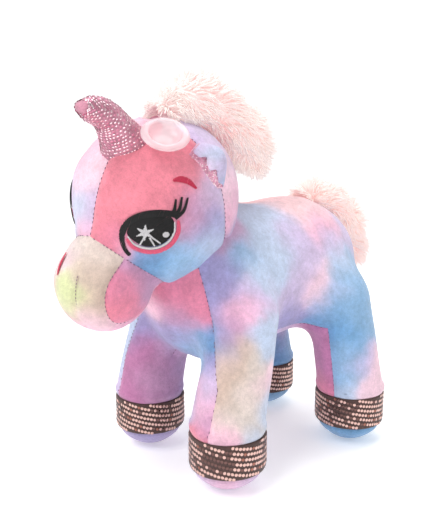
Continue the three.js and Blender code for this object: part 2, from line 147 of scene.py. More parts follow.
# Each panel's dye: patches of colour with a centre and a radius. Head panels are in the head's frame.
DYES = {
    "face_panel_left": [
        ("coral", (14, -36, 25), 16),
        ("coral", (29, -10, 33), 15),
        ("coral", (26, -30, 20), 14),
        ("coral", (6, -44, 8), 10),
        ("rose", (14, -45, 0), 8),
        ("pink", (16, -42, -7), 6),
        ("mauve", (40, -14, 8), 10),
        ("lilac", (42, 2, 16), 10),
        ("violet", (41, -4, -3), 9),
        ("blue", (25, -36, -13), 9),
        ("sky", (36, -22, -13), 11),
        ("ice", (40, -5, -14), 10),
        ("sky", (32, -12, -28), 12),
        ("violet", (34, 4, -26), 10),
    ],
    "face_panel_right": [
        ("pale_pink", (-12, -30, 32), 15),
        ("pink", (-20, -20, 36), 12),
        ("ice", (-13, -42, 12), 8),
        ("lilac", (-4, -44, 16), 8),
        ("pink", (-4, -47, 5), 7),
        ("lilac", (-30, -30, 10), 13),
        ("sky", (-38, -16, -10), 14),
        ("rose", (-36, -12, 22), 13),
        ("violet", (-30, -12, -30), 14),
    ],
    "head_back_panel_left": [
        ("pink", (41, 14, -4), 12),
        ("lilac", (28, 14, 32), 13),
        ("pale_pink", (36, 14, 16), 10),
        ("violet", (34, 18, -26), 12),
        ("mauve", (20, 38, 0), 14),
    ],
    "head_back_panel_right": [
        ("lilac", (-41, 14, -4), 14),
        ("pink", (-28, 14, 32), 13),
        ("sky", (-34, 18, -26), 14),
        ("rose", (-20, 38, 0), 14),
    ],
    "muzzle_panel": [
        ("cream", (6, -52, -2), 11),
        ("beige", (13, -60, -10), 10),
        ("lime", (-1, -69, -20), 9),
        ("lime", (-2, -69, -29), 9),
        ("beige", (14, -65, -24), 10),
        ("pale_pink", (13, -66, -35), 8),
        ("pale_pink", (-8, -62, -8), 7),
        ("cream", (-14, -56, -6), 10),
        ("pink", (2, -60, -48), 12),
        ("pink", (-15, -60, -30), 10),
    ],
    "jaw_panel_left": [
        ("mauve", (23, -43, -14), 7),
        ("rose", (23, -52, -22), 9),
        ("coral", (21, -58, -30), 8),
        ("rose", (20, -54, -40), 9),
        ("mauve", (24, -36, -26), 8),
    ],
    "jaw_panel_right": [
        ("lilac", (-23, -43, -14), 9),
        ("rose", (-23, -54, -24), 10),
        ("pink", (-20, -54, -40), 10),
    ],
    "under": [
        ("rose", (18, -58, 112), 12),
        ("rose", (24, -52, 104), 10),
        ("pale_pink", (0, -60, 103), 9),
        ("mauve", (16, -55, 94), 10),
        ("violet", (10, -53, 84), 8),
        ("sky", (20, -47, 78), 10),
        ("blue", (30, -48, 84), 7),
        ("violet", (-8, -50, 84), 11),
        ("pink", (-20, -54, 108), 14),
        ("violet", (0, -20, 62), 18),
        ("sky", (14, -30, 66), 12),
        ("lilac", (0, 15, 68), 20),
        ("pink", (0, 50, 72), 20),
        ("violet", (34, -49, 72), 7),
        ("lilac", (38, -54, 62), 8),
        ("pink", (38, -56, 53), 8),
        ("mauve", (40, -57, 45), 7),
        ("coral", (38, -59, 34), 7),
        ("lilac", (20, -40, 46), 12),
        ("violet", (-32, -50, 76), 9),
        ("magenta", (-26, -52, 60), 10),
        ("mauve", (-22, -48, 46), 9),
        ("magenta", (-30, -58, 36), 9),
        ("mauve", (-18, -36, 56), 12),
        ("magenta", (36, 42, 70), 11),
        ("magenta", (35, 40, 56), 12),
        ("rose", (32, 46, 38), 10),
        ("mauve", (24, 60, 48), 12),
        ("blue", (-26, 44, 62), 16),
        ("blue", (-22, 50, 40), 14),
        ("sky", (-34, 60, 44), 12),
    ],
    "side_left": [
        ("violet", (35, -42, 119), 10),
        ("mauve", (28, -30, 139), 9),
        ("violet", (36, -48, 106), 7),
        ("blue", (37, -49, 88), 8),
        ("violet", (38, -50, 78), 7),
        ("sky", (35, -26, 128), 9),
        ("ice", (33, -9, 135), 11),
        ("ice", (40, -17, 118), 9),
        ("lilac", (40, -26, 107), 9),
        ("pink", (46, -40, 102), 8),
        ("mauve", (44, -46, 94), 8),
        ("ice", (20, 3, 147), 12),
        ("lilac", (33, 14, 136), 10),
        ("ice", (40, 0, 120), 10),
        ("lilac", (41, 13, 112), 9),
        ("lilac", (41, 8, 100), 9),
        ("pale_pink", (42, 27, 104), 9),
        ("violet", (38, 10, 88), 10),
        ("peach", (16, 36, 151), 14),
        ("pink", (33, 40, 141), 10),
        ("lilac", (42, 42, 130), 9),
        ("ice", (44, 46, 118), 9),
        ("sky", (45, 52, 108), 11),
        ("sky", (48, 38, 92), 11),
        ("blue", (48, 36, 76), 11),
        ("sky", (46, 62, 92), 14),
        ("lilac", (20, 74, 132), 14),
        ("sky", (25, 82, 105), 14),
        ("beige", (46, -50, 80), 8),
        ("beige", (49, -49, 70), 8),
        ("cream", (56, -40, 72), 8),
        ("ice", (57, -26, 86), 8),
        ("beige", (52, -52, 58), 8),
        ("cream", (57, -40, 56), 8),
        ("pale_pink", (58, -30, 62), 7),
        ("cream", (54, -50, 46), 8),
        ("cream", (58, -38, 42), 8),
        ("ice", (58, -26, 48), 8),
        ("pink", (50, -56, 36), 8),
        ("ice", (58, -40, 34), 7),
        ("sky", (52, 40, 62), 10),
        ("sky", (48, 46, 48), 9),
        ("lilac", (59, 52, 54), 8),
        ("pale_pink", (60, 62, 48), 8),
        ("ice", (54, 46, 38), 8),
        ("pale_pink", (58, 58, 36), 7),
    ],
    "side_right": [
        ("pink", (-35, -40, 118), 14),
        ("lilac", (-28, -30, 139), 12),
        ("ice", (-33, -9, 135), 13),
        ("mauve", (-42, -10, 112), 13),
        ("sky", (-41, 13, 112), 14),
        ("peach", (-16, 36, 151), 14),
        ("lilac", (-33, 42, 138), 13),
        ("rose", (-45, 48, 112), 14),
        ("violet", (-38, 8, 90), 13),
        ("ice", (-46, 62, 92), 14),
        ("ice", (-44, -50, 74), 10),
        ("ice", (-46, -54, 54), 10),
        ("lilac", (-50, -54, 38), 9),
        ("lilac", (-54, -40, 48), 12),
        ("sky", (-56, -30, 64), 10),
        ("sky", (-54, 43, 58), 14),
        ("blue", (-45, 45, 80), 13),
        ("ice", (-52, 58, 38), 12),
    ],
    "sole_front_left": [("lilac", (37, -39, 0), 20), ("pink", (50, -50, 6), 10)],
    "sole_front_right": [("lilac", (-37, -39, 0), 20), ("violet", (-26, -50, 6), 12)],
    "sole_hind_left": [("sky", (39, 62, 0), 20), ("blue", (50, 52, 6), 12)],
    "sole_hind_right": [("sky", (-39, 62, 0), 20), ("blue", (-50, 52, 6), 12)],
}
HEAD_PANELS = (
    "face_panel_left",
    "face_panel_right",
    "head_back_panel_left",
    "head_back_panel_right",
    "muzzle_panel",
    "jaw_panel_left",
    "jaw_panel_right",
)


# ---------- the head's own frame ----------
def rotation(axis, degrees):
    return np.array(Matrix.Rotation(math.radians(degrees), 3, axis))


HEAD_TURN = rotation("Z", HEAD_YAW) @ rotation("Y", HEAD_ROLL) @ rotation("X", HEAD_PITCH)


def to_world(q):
    return np.asarray(q, float) @ HEAD_TURN.T + HEAD_CENTRE


# ---------- distance fields ----------
def ellipsoid(p, centre, radii, power=2.0):
    q = np.abs((p - np.array(centre, float)) / np.array(radii, float))
    return ((q**power).sum(-1) ** (1 / power) - 1) * min(radii)


def cone(p, a, b, ra, rb):
    a = np.array(a, float)
    d = np.array(b, float) - a
    t = np.clip(((p - a) @ d) / (d @ d), 0, 1)
    return np.linalg.norm(p - a - t[..., None] * d, axis=-1) - (ra + (rb - ra) * t)


def merge(a, b, width):
    h = np.clip(0.5 + 0.5 * (b - a) / width, 0, 1)
    return b + (a - b) * h - width * h * (1 - h)


def hoof(p, x, y):
    """A foot with a rounded sole under an upright wall."""
    radius = BAND_RADIUS - 0.4
    across = np.hypot(p[..., 0] - x, p[..., 1] - y)
    height = np.clip((HOOF_CROWN - p[..., 2]) / HOOF_CROWN, 0, 2)
    dish = ((across / radius) ** HOOF_POWER + height**HOOF_POWER) ** (1 / HOOF_POWER)
    bowl = (dish - 1) * HOOF_CROWN
    wall = np.maximum(across - radius, p[..., 2] - HOOF_WALL_TOP)
    return np.where(p[..., 2] < HOOF_CROWN, bowl, wall)


def leg(p, side, end):
    x = side * LEG_X[end]
    limb = cone(p, (x, HIP_Y[end], HIP_Z), (x, FOOT_Y[end], 34), 18.5, 20.6)
    return merge(limb, hoof(p, x, FOOT_Y[end]), 3)


def body(p):
    d = merge(ellipsoid(p, *CHEST), ellipsoid(p, *RUMP), 30)
    d = merge(d, cone(p, *NECK), 10)
    for side in (1, -1):
        d = merge(d, leg(p, side, "front"), 14)
        d = merge(d, leg(p, side, "hind"), 16)
    return d


def head_local(q):
    skull = ellipsoid(q, (0, 0, 0), SKULL_RADII, 2.25)
    snout = ellipsoid(q, *MUZZLE, 2.2)
    bridge = cone(q, (0, -26, 0), (0, -42, -24), 20, 21)
    return merge(skull, merge(snout, bridge, 6), 6)


def gradient(field, p, step=0.25):
    here = field(p)
    g = np.stack([field(p + step * e) - here for e in np.eye(3)], -1) / step
    return here, g


def settle(field, p, rounds=4, most=2.0):
    """Moves points onto the surface of a field."""
    for _ in range(rounds):
        value, g = gradient(field, p)
        size = np.maximum((g * g).sum(-1), 0.05)
        p = p - g * np.clip(value / size, -most, most)[:, None]
    return p


def surface(field, low, high, step):
    """A quad mesh of a field's zero surface: one vertex in each grid cell that it crosses."""
    axes = [np.arange(a, b + step, step) for a, b in zip(low, high)]
    grid = np.stack(np.meshgrid(*axes, indexing="ij"), -1)
    inside = field(grid.reshape(-1, 3)).reshape(grid.shape[:3]) < 0
    shape = np.array(inside.shape) - 1
    count = np.zeros(shape, int)
    for corner in itertools.product((0, 1), repeat=3):
        count += inside[tuple(slice(c, c + n) for c, n in zip(corner, shape))]
    mixed = (count > 0) & (count < 8)
    index = np.full(shape, -1)
    index[mixed] = np.arange(mixed.sum())
    cells = np.argwhere(mixed)
    points = np.stack([axes[k][cells[:, k]] for k in range(3)], -1) + step / 2
    quads = []
    for a in range(3):
        u, v = (a + 1) % 3, (a + 2) % 3
        first = np.moveaxis(inside, (a, u, v), (0, 1, 2))
        cell = np.moveaxis(index, (a, u, v), (0, 1, 2))
        crossing = (first[:-1] != first[1:])[:, 1:-1, 1:-1]
        i, j, k = np.nonzero(crossing)
        ring = [cell[i, j, k], cell[i, j + 1, k], cell[i, j + 1, k + 1], cell[i, j, k + 1]]
        quad = np.stack(ring, -1)
        outward = first[:-1][:, 1:-1, 1:-1][i, j, k]
        quad[~outward] = quad[~outward][:, ::-1]
        quads.append(quad)
    return settle(field, points), np.concatenate(quads)


def ripple(p, size, seed=0):
    """Smooth pseudo-random values of about -1 to 1 over lengths of about size millimetres."""
    source = np.random.default_rng(seed)
    total = np.zeros(len(p))
    for _ in range(6):
        wave = source.normal(size=3)
        wave *= 2 * math.pi / (size * 2.2) * source.uniform(0.6, 1.5) / np.linalg.norm(wave)
        total += np.sin(p @ wave + source.uniform(0, 7))
    return total / 2.6


# ---------- objects ----------
def make_mesh(name, points, faces, material, normals=None, colours=None):
    mesh = bpy.data.meshes.new(name)
    mesh.from_pydata((np.asarray(points) * MM).tolist(), [], [list(map(int, f)) for f in faces])
    mesh.update()
    mesh.materials.append(material)
    mesh.shade_smooth()
    if colours is not None:
        dye = mesh.attributes.new("dye", "FLOAT_COLOR", "POINT")
        rgba = np.ones((len(points), 4), np.float32)
        rgba[:, :3] = colours
        dye.data.foreach_set("color", rgba.ravel())
    if normals is not None:
        mesh.normals_split_custom_set_from_vertices(np.asarray(normals, float).tolist())
    piece = bpy.data.objects.new(name, mesh)
    bpy.context.scene.collection.objects.link(piece)
    return piece


def vertex_normals(points, faces):
    normals = np.zeros_like(points)
    for face in faces:
        a, b, c = points[face[0]], points[face[1]], points[face[2]]
        n = np.cross(b - a, c - a)
        if len(face) > 3:
            n = n + np.cross(c - a, points[face[3]] - a)
        for v in face:
            normals[v] += n
    return normals / np.maximum(np.linalg.norm(normals, axis=1, keepdims=True), 1e-9)


# ---------- materials ----------
def new_material(name):
    material = bpy.data.materials.new(name)
    material.use_nodes = True
    tree = material.node_tree
    shader = tree.nodes["Principled BSDF"]
    return material, tree, shader


def link(tree, source, target):
    tree.links.new(source, target)


def noise_node(tree, scale, detail=2.0, roughness=0.5):
    place = tree.nodes.new("ShaderNodeTexCoord")
    noise = tree.nodes.new("ShaderNodeTexNoise")
    noise.inputs["Scale"].default_value = scale
    noise.inputs["Detail"].default_value = detail
    noise.inputs["Roughness"].default_value = roughness
    link(tree, place.outputs["Object"], noise.inputs["Vector"])
    return noise


def add_bump(tree, shader, heights, strength, distance):
    total = heights[0]
    for height in heights[1:]:
        add = tree.nodes.new("ShaderNodeMath")
        add.operation = "ADD"
        link(tree, total, add.inputs[0])
        link(tree, height, add.inputs[1])
        total = add.outputs[0]
    bump = tree.nodes.new("ShaderNodeBump")
    bump.inputs["Strength"].default_value = strength
    bump.inputs["Distance"].default_value = distance
    link(tree, total, bump.inputs["Height"])
    link(tree, bump.outputs["Normal"], shader.inputs["Normal"])


def speckled(tree, shader, colour_output, noises, low, high):
    """Multiplies a colour by noise between low and high and sets it as the base colour."""
    source = colour_output
    for noise in noises:
        ramp = tree.nodes.new("ShaderNodeMapRange")
        ramp.inputs["From Min"].default_value = 0.3
        ramp.inputs["From Max"].default_value = 0.7
        ramp.inputs["To Min"].default_value = low
        ramp.inputs["To Max"].default_value = high
        link(tree, noise.outputs["Fac"], ramp.inputs["Value"])
        scale = tree.nodes.new("ShaderNodeVectorMath")
        scale.operation = "SCALE"
        link(tree, source, scale.inputs[0])
        link(tree, ramp.outputs["Result"], scale.inputs["Scale"])
        source = scale.outputs["Vector"]
    link(tree, source, shader.inputs["Base Color"])


def plush_material():
    material, tree, shader = new_material("tie_dyed_plush")
    dye = tree.nodes.new("ShaderNodeAttribute")
    dye.attribute_name = "dye"
    pile = noise_node(tree, 1500, 3.0, 0.7)
    tufts = noise_node(tree, 420, 3.0, 0.6)
    clouds = noise_node(tree, 110, 3.0, 0.5)
    speckled(tree, shader, dye.outputs["Color"], [pile, tufts, clouds], 0.9, 1.09)
    add_bump(tree, shader, [pile.outputs["Fac"], tufts.outputs["Fac"]], 0.5, 0.0007)
    shader.inputs["Roughness"].default_value = 0.92
    shader.inputs["Specular IOR Level"].default_value = 0.15
    shader.inputs["Sheen Weight"].default_value = 0.35
    shader.inputs["Sheen Roughness"].default_value = 0.45
    return material


def thread_material(name, rgb, roughness=0.5):
    material, tree, shader = new_material(name)
    colour = tree.nodes.new("ShaderNodeRGB")
    colour.outputs[0].default_value = (*linear(rgb), 1)
    grain = noise_node(tree, 2600, 2.0)
    speckled(tree, shader, colour.outputs[0], [grain], 0.75, 1.2)
    add_bump(tree, shader, [grain.outputs["Fac"]], 0.4, 0.0002)
    shader.inputs["Roughness"].default_value = roughness
    shader.inputs["Sheen Weight"].default_value = 0.2
    return material


def sequin_material(name, rgb, roughness, metallic=1.0):
    material, tree, shader = new_material(name)
    shader.inputs["Base Color"].default_value = (*linear(rgb), 1)
    shader.inputs["Metallic"].default_value = metallic
    smear = noise_node(tree, 700, 1.0)
    ramp = tree.nodes.new("ShaderNodeMapRange")
    ramp.inputs["To Min"].default_value = roughness * 0.7
    ramp.inputs["To Max"].default_value = roughness * 1.3
    link(tree, smear.outputs["Fac"], ramp.inputs["Value"])
    link(tree, ramp.outputs["Result"], shader.inputs["Roughness"])
    return material


def cloth_material(name, rgb, scale=900):
    material, tree, shader = new_material(name)
    colour = tree.nodes.new("ShaderNodeRGB")
    colour.outputs[0].default_value = (*linear(rgb), 1)
    weave = noise_node(tree, scale, 3.0)
    patches = noise_node(tree, 150, 2.0)
    speckled(tree, shader, colour.outputs[0], [weave, patches], 0.8, 1.15)
    add_bump(tree, shader, [weave.outputs["Fac"]], 0.5, 0.0004)
    shader.inputs["Roughness"].default_value = 0.75
    shader.inputs["Sheen Weight"].default_value = 0.2
    return material


def fur_material():
    material, tree, shader = new_material("long_fur_with_painted_glow")
    dye = tree.nodes.new("ShaderNodeAttribute")
    dye.attribute_name = "dye"
    strands = noise_node(tree, 1600, 2.0)
    speckled(tree, shader, dye.outputs["Color"], [strands], 0.88, 1.1)
    shader.inputs["Roughness"].default_value = 0.8
    shader.inputs["Sheen Weight"].default_value = 0.4
    shader.inputs["Sheen Roughness"].default_value = 0.4
    # Painted light: the fur glows a little in its own dye colour, standing in for light passing through the
    # thin locks.
    shader.inputs["Emission Strength"].default_value = 0.22
    link(tree, dye.outputs["Color"], shader.inputs["Emission Color"])
    return material


def vinyl_material():
    material, tree, shader = new_material("clear_vinyl")
    shader.inputs["Base Color"].default_value = (*linear((244, 226, 230)), 1)
    shader.inputs["Alpha"].default_value = 0.42
    shader.inputs["IOR"].default_value = 1.5
    shader.inputs["Coat Weight"].default_value = 0.4
    cloudy = noise_node(tree, 160, 2.0)
    ramp = tree.nodes.new("ShaderNodeMapRange")
    ramp.inputs["To Min"].default_value = 0.12
    ramp.inputs["To Max"].default_value = 0.3
    link(tree, cloudy.outputs["Fac"], ramp.inputs["Value"])
    link(tree, ramp.outputs["Result"], shader.inputs["Roughness"])
    return material


PLUSH = plush_material()
FUR = fur_material()
VINYL = vinyl_material()
SEAM_THREAD = thread_material("seam_thread", (128, 96, 120), 0.8)
BLACK_THREAD = thread_material("black_thread", (13, 10, 12), 0.62)
WHITE_THREAD = thread_material("white_thread", (222, 220, 222), 0.5)
PINK_THREAD = thread_material("pink_thread", (240, 104, 138), 0.5)
CRIMSON_THREAD = thread_material("crimson_thread", (206, 44, 82), 0.5)
BAND_CLOTH = cloth_material("band_cloth", (74, 50, 46))
HORN_CLOTH = cloth_material("horn_cloth", (196, 132, 152))
GLITTER_CLOTH = cloth_material("glitter_cloth", (226, 158, 184))
COPPER = sequin_material("rose_copper_sequin", (216, 178, 168), 0.3)
BRONZE = sequin_material("bronze_sequin", (150, 104, 92), 0.22)
MIRROR = sequin_material("dark_mirror_sequin", (110, 84, 80), 0.1)
SILVER = sequin_material("silver_pink_sequin", (250, 222, 230), 0.25)
ROSE = sequin_material("rose_sequin", (224, 150, 176), 0.3)


# ---------- plush panels ----------
def dye_colours(patches, points):
    shift = np.stack([ripple(points, 9, seed) for seed in (1, 2, 3)], -1) * 2.4
    shift += np.stack([ripple(points, 3.5, seed) for seed in (4, 5, 6)], -1) * 0.7
    moved = points + shift
    total = np.zeros((len(points), 3))
    weights = np.full(len(points), 1e-9)
    for colour, centre, radius in patches:
        d = np.linalg.norm(moved - np.array(centre), axis=1) / (radius * 0.72)
        w = np.exp(-0.5 * d * d) + 1e-5 / (1 + d**4)
        total += w[:, None] * linear(PALETTE[colour])
        weights += w
    return total / weights[:, None]


def cut_mesh(points, faces, planes):
    """Cuts a mesh along planes, each a point and a normal, and keeps both sides."""
    shell = bmesh.new()
    verts = [shell.verts.new(p) for p in points]
    for face in faces:
        shell.faces.new([verts[v] for v in face])
    for place, normal in planes:
        everything = shell.verts[:] + shell.edges[:] + shell.faces[:]
        bmesh.ops.bisect_plane(shell, geom=everything, dist=0.12, plane_co=place, plane_no=normal)
    shell.verts.index_update()
    cut_points = np.array([v.co for v in shell.verts])
    cut_faces = [[v.index for v in f.verts] for f in shell.faces]
    shell.free()
    return cut_points, cut_faces


def seam_edges(faces, labels, open_pairs):
    """Edges between two panels, apart from those where one piece of cloth runs on."""
    owner = {}
    edges = []
    for face, label in zip(faces, labels):
        for a, b in zip(face, face[1:] + face[:1]):
            key = (min(a, b), max(a, b))
            other = owner.setdefault(key, label)
            if other != label and frozenset((other, label)) not in open_pairs:
                edges.append(key)
    return edges


def sink_seams(points, normals, edges, depth=1.1, width=1.7):
    tree = KDTree(len(edges) * 2)
    for n, v in enumerate(v for edge in edges for v in edge):
        tree.insert(points[v], n)
    tree.balance()
    distance = np.array([tree.find(p)[2] for p in points])
    puff = 0.35 * np.exp(-(((distance - 5) / 3) ** 2))
    return points + normals * (puff - depth * np.exp(-((distance / width) ** 2)))[:, None]


def stitches(name, points, normals, edges, length=1.2, pitch=1.9, radius=0.19):
    """Short thread dashes laid along the seams."""
    chosen = []
    tree_points = []
    for a, b in edges:
        middle = (points[a] + points[b]) / 2
        if tree_points and np.min(np.sum((np.array(tree_points) - middle) ** 2, 1)) < pitch**2:
            continue
        tree_points.append(middle)
        along = points[b] - points[a]
        size = np.linalg.norm(along)
        if size < 0.2:
            continue
        chosen.append((middle, along / size, normals[a] + normals[b]))
    build = Builder()
    for middle, along, normal in chosen:
        build.spindle(middle + normal * 0.12, along, length, radius)
    return build.make(name, SEAM_THREAD)


class Builder:
    """Collects points, faces and colours for one mesh."""

    def __init__(self):
        self.points = []
        self.faces = []
        self.slots = []
        self.colours = []
        self.count = 0

    def add(self, points, faces, slot=0, colours=None):
        self.points.append(np.asarray(points, float))
        self.faces += [[v + self.count for v in face] for face in faces]
        self.slots += [slot] * len(faces)
        if colours is not None:
            self.colours.append(np.asarray(colours, float))
        self.count += len(points)

    def spindle(self, middle, along, length, radius):
        side = np.cross(along, (0.3, 0.5, 0.8))
        side /= np.linalg.norm(side)
        up = np.cross(along, side)
        rings = []
        for t, r in ((-0.5, 0.35), (-0.3, 1), (0.3, 1), (0.5, 0.35)):
            centre = middle + along * length * t
            for k in range(5):
                a = 2 * math.pi * k / 5
                rings.append(centre + (side * math.cos(a) + up * math.sin(a)) * radius * r)
        self.add(rings, tube_faces(4, 5, True))

    def make(self, name, *materials):
        points = np.concatenate(self.points)
        colours = np.concatenate(self.colours) if self.colours else None
        piece = make_mesh(name, points, self.faces, materials[0], colours=colours)
        for material in materials[1:]:
            piece.data.materials.append(material)
        if len(materials) > 1:
            piece.data.polygons.foreach_set("material_index", self.slots)
        return piece


def tube_faces(rings, around, capped):
    faces = []
    for r in range(rings - 1):
        for k in range(around):
            n = (k + 1) % around
            faces.append([r * around + k, r * around + n, (r + 1) * around + n, (r + 1) * around + k])
    if capped:
        faces.append(list(range(around))[::-1])
        faces.append([(rings - 1) * around + k for k in range(around)])
    return faces


def panel_pieces(points, faces, labels, normals, colours, names):
    """Splits a mesh into one object for each label."""
    pieces = {}
    labels = np.array(labels)
    for name in names:
        chosen = [faces[i] for i in np.nonzero(labels == name)[0]]
        if not chosen:
            continue
        used = np.unique([v for face in chosen for v in face])
        renumber = {old: new for new, old in enumerate(used)}
        local = [[renumber[v] for v in face] for face in chosen]
        piece = make_mesh(
            f"plush_{name}", points[used], local, PLUSH, normals[used], colours[name][used]
        )
        pieces[name] = piece
    return pieces


def build_head():
    points, quads = surface(head_local, (-46, -76, -58), (46, 48, 48), 1.3)
    nx, ny, nz = MUZZLE_SEAM_NORMAL
    planes = [
        ((0, 0, 0), (1, 0, 0)),
        ((0, HEAD_BACK_SEAM, 0), (0, 1, 0)),
        (tuple(c * MUZZLE_SEAM for c in (-nx, ny, nz)), (-nx, ny, nz)),
        (tuple(c * MUZZLE_SEAM for c in (nx, ny, nz)), (nx, ny, nz)),
        ((MUZZLE_HALF_WIDTH, 0, 0), (1, 0, 0)),
        ((-MUZZLE_HALF_WIDTH, 0, 0), (1, 0, 0)),
    ]
    points, faces = cut_mesh(points, quads.tolist(), planes)
    labels = []
    for face in faces:
        x, y, z = points[face].mean(0)
        side = "left" if x > 0 else "right"
        if -nx * abs(x) + ny * y + nz * z > MUZZLE_SEAM:
            labels.append("muzzle_panel" if abs(x) < MUZZLE_HALF_WIDTH else f"jaw_panel_{side}")
        elif y > HEAD_BACK_SEAM:
            labels.append(f"head_back_panel_{side}")
        else:
            labels.append(f"face_panel_{side}")
    edges = seam_edges(faces, labels, set())
    _, slope = gradient(head_local, points)
    outward = slope / np.linalg.norm(slope, axis=1, keepdims=True)
    points = points + outward * (0.3 * ripple(points, 14, 21))[:, None]
    dart = np.abs(points[:, 0] - DART_X) + 20 * (points[:, 1] > -56) + 20 * (points[:, 2] < -46)
    shaped = sink_seams(points, outward, edges)
    shaped -= outward * (0.9 * np.exp(-((dart / 1.3) ** 2)))[:, None]
    world = to_world(shaped)
    normals = vertex_normals(world, faces)
    colours = {name: dye_colours(DYES[name], points) for name in HEAD_PANELS}
    pieces = panel_pieces(world, faces, labels, normals, colours, HEAD_PANELS)
    for name, piece in pieces.items():
        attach(piece, "head")
        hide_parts(name)
    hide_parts("head_stuffing")
    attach(stitches("seam_stitches_head", world, normals, edges), "head")
    line = np.stack([np.full(60, DART_X), np.full(60, -66.0), np.linspace(-10, -32, 60)], -1)
    line = settle(head_local, line, rounds=20)
    _, slope = gradient(head_local, line)
    slope /= np.linalg.norm(slope, axis=1, keepdims=True)
    ends = [(k, k + 1) for k in range(59)]
    seam = stitches("muzzle_dart", to_world(line - slope * 0.6), slope @ HEAD_TURN.T, ends, pitch=1.6)
    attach(seam, "head")


def build_neck():
    """The plush of the neck, which fills the crease between head and body as the head turns."""

    def field(p):
        return cone(p, NECK[0], NECK[1], NECK[2] - 1.5, NECK[3] - 1.5)

    points, quads = surface(field, (-38, -78, 80), (38, 6, 174), 2.2)
    faces = quads.tolist()
    normals = vertex_normals(points, faces)
    colours = dye_colours(DYES["side_left"], points)
    piece = make_mesh("plush_neck", points, faces, PLUSH, normals, colours)
    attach(piece, "neck")
    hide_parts("neck_stuffing")


LEGS = [
    (end, side, f"leg_{end}_{word}")
    for end in ("front", "hind")
    for side, word in ((1, "left"), (-1, "right"))
]


def chest_seam(z):
    """Half the width of the chest panel at a height."""
    widths, heights = zip(*CHEST_SEAM[::-1])
    return np.interp(z, heights, widths)


def body_label(x, y, z):
    side, word = (1, "left") if x > 0 else (-1, "right")
    end = "front" if y < FRONT_HIND_SPLIT else "hind"
    outer = side * x > LEG_X[end] + LEG_SEAM[end]
    if z < LEG_TOP:
        name = f"leg_{end}_{word}"
        if z < BAND_BOTTOM:
            return f"{name}_sole"
        if z < BAND_TOP:
            return f"{name}_band"
        return f"{name}_outer" if outer else f"{name}_inner"
    if y < CHEST_BACK:
        return "chest_panel" if abs(x) < chest_seam(z) else f"body_panel_{word}"
    if z < BELLY_TOP and not outer:
        return "belly_gusset"
    return f"body_panel_{word}"


def body_dye(label):
    if label.endswith("_sole"):
        return "sole_" + label[4:-5]
    if label.endswith("_inner") or label in ("chest_panel", "belly_gusset"):
        return "under"
    return "side_left" if "left" in label else "side_right"


def chest_planes():
    """The slanted cuts of the chest seam, on both sides."""
    planes = []
    for (x0, z0), (x1, z1) in itertools.pairwise(CHEST_SEAM):
        for side in (1, -1):
            planes.append(((side * x0, 0, z0), (side * (z1 - z0), 0, x0 - x1)))
    return planes


def build_body():
    points, quads = surface(body, (-64, -66, -3), (64, 94, 178), 1.6)
    up = (0, 0, 1)
    across = (1, 0, 0)
    planes = [((0, 0, z), up) for z in (BAND_BOTTOM, BAND_TOP, LEG_TOP, BELLY_TOP)]
    planes += [((0, CHEST_BACK, 0), (0, 1, 0))]
    for side in (1, -1):
        for end in ("front", "hind"):
            planes.append(((side * (LEG_X[end] + LEG_SEAM[end]), 0, 0), across))
    planes.append(((0, 0, 0), across))
    planes += chest_planes()
    points, faces = cut_mesh(points, quads.tolist(), planes)
    labels = [body_label(*points[face].mean(0)) for face in faces]
    open_pairs = set()
    for end, side, name in LEGS:
        open_pairs.add(frozenset((f"{name}_outer", "body_panel_" + name.split("_")[-1])))
        for upper in ("chest_panel", "belly_gusset"):
            open_pairs.add(frozenset((f"{name}_inner", upper)))
    edges = seam_edges(faces, labels, open_pairs)
    _, slope = gradient(body, points)
    outward = slope / np.maximum(np.linalg.norm(slope, axis=1, keepdims=True), 1e-6)
    points = points + outward * (0.35 * ripple(points, 16, 31) * (points[:, 2] > 30))[:, None]
    shaped = sink_seams(points, outward, edges)
    normals = vertex_normals(shaped, faces)
    names = sorted(set(labels))
    dyes = {body_dye(name): None for name in names if not name.endswith("_band")}
    for dye in dyes:
        dyes[dye] = dye_colours(DYES[dye], points)
    plush_names = [name for name in names if not name.endswith("_band")]
    colours = {name: dyes[body_dye(name)] for name in plush_names}
    pieces = panel_pieces(shaped, faces, labels, normals, colours, plush_names)
    for name in ("chest_panel", "belly_gusset", "body_panel_left", "body_panel_right"):
        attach(pieces[name], "torso")
        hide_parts(name)
    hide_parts("torso_stuffing")
    for end, side, name in LEGS:
        for part in ("inner", "outer"):
            piece = pieces[f"{name}_{part}"]
            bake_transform(piece)
            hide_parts(f"{name}_{part}_panel")
        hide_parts(f"{name}_stuffing")
        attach(pieces[f"{name}_sole"], name)
        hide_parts(f"{name}_sole")
    upper = [e for e in edges if min(shaped[e[0], 2], shaped[e[1], 2]) > LEG_TOP]
    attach(stitches("seam_stitches_body", shaped, normals, upper), "torso")
    for end, side, name in LEGS:
        near = [
            e
            for e in edges
            if BAND_TOP + 1 < shaped[e[0], 2] <= LEG_TOP
            and side * shaped[e[0], 0] > 0
            and (shaped[e[0], 1] < FRONT_HIND_SPLIT) == (end == "front")
        ]
        lower = stitches(f"seam_stitches_{name}", shaped, normals, near)
        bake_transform(lower)


# ---------- sequinned hoof bands ----------
def sequin(build, place, normal, along, radius, slot):
    """A small domed disc."""
    side = np.cross(normal, along)
    points = [place + normal * 0.28]
    around = 8
    for k in range(around):
        a = 2 * math.pi * k / around
        points.append(place + (along * math.cos(a) + side * math.sin(a)) * radius)
    faces = [[0, 1 + k, 1 + (k + 1) % around] for k in range(around)]
    build.add(points, faces, slot)


def tilted(normal, amount):
    n = normal + RANDOM.normal(0, amount, 3)
    return n / np.linalg.norm(n)


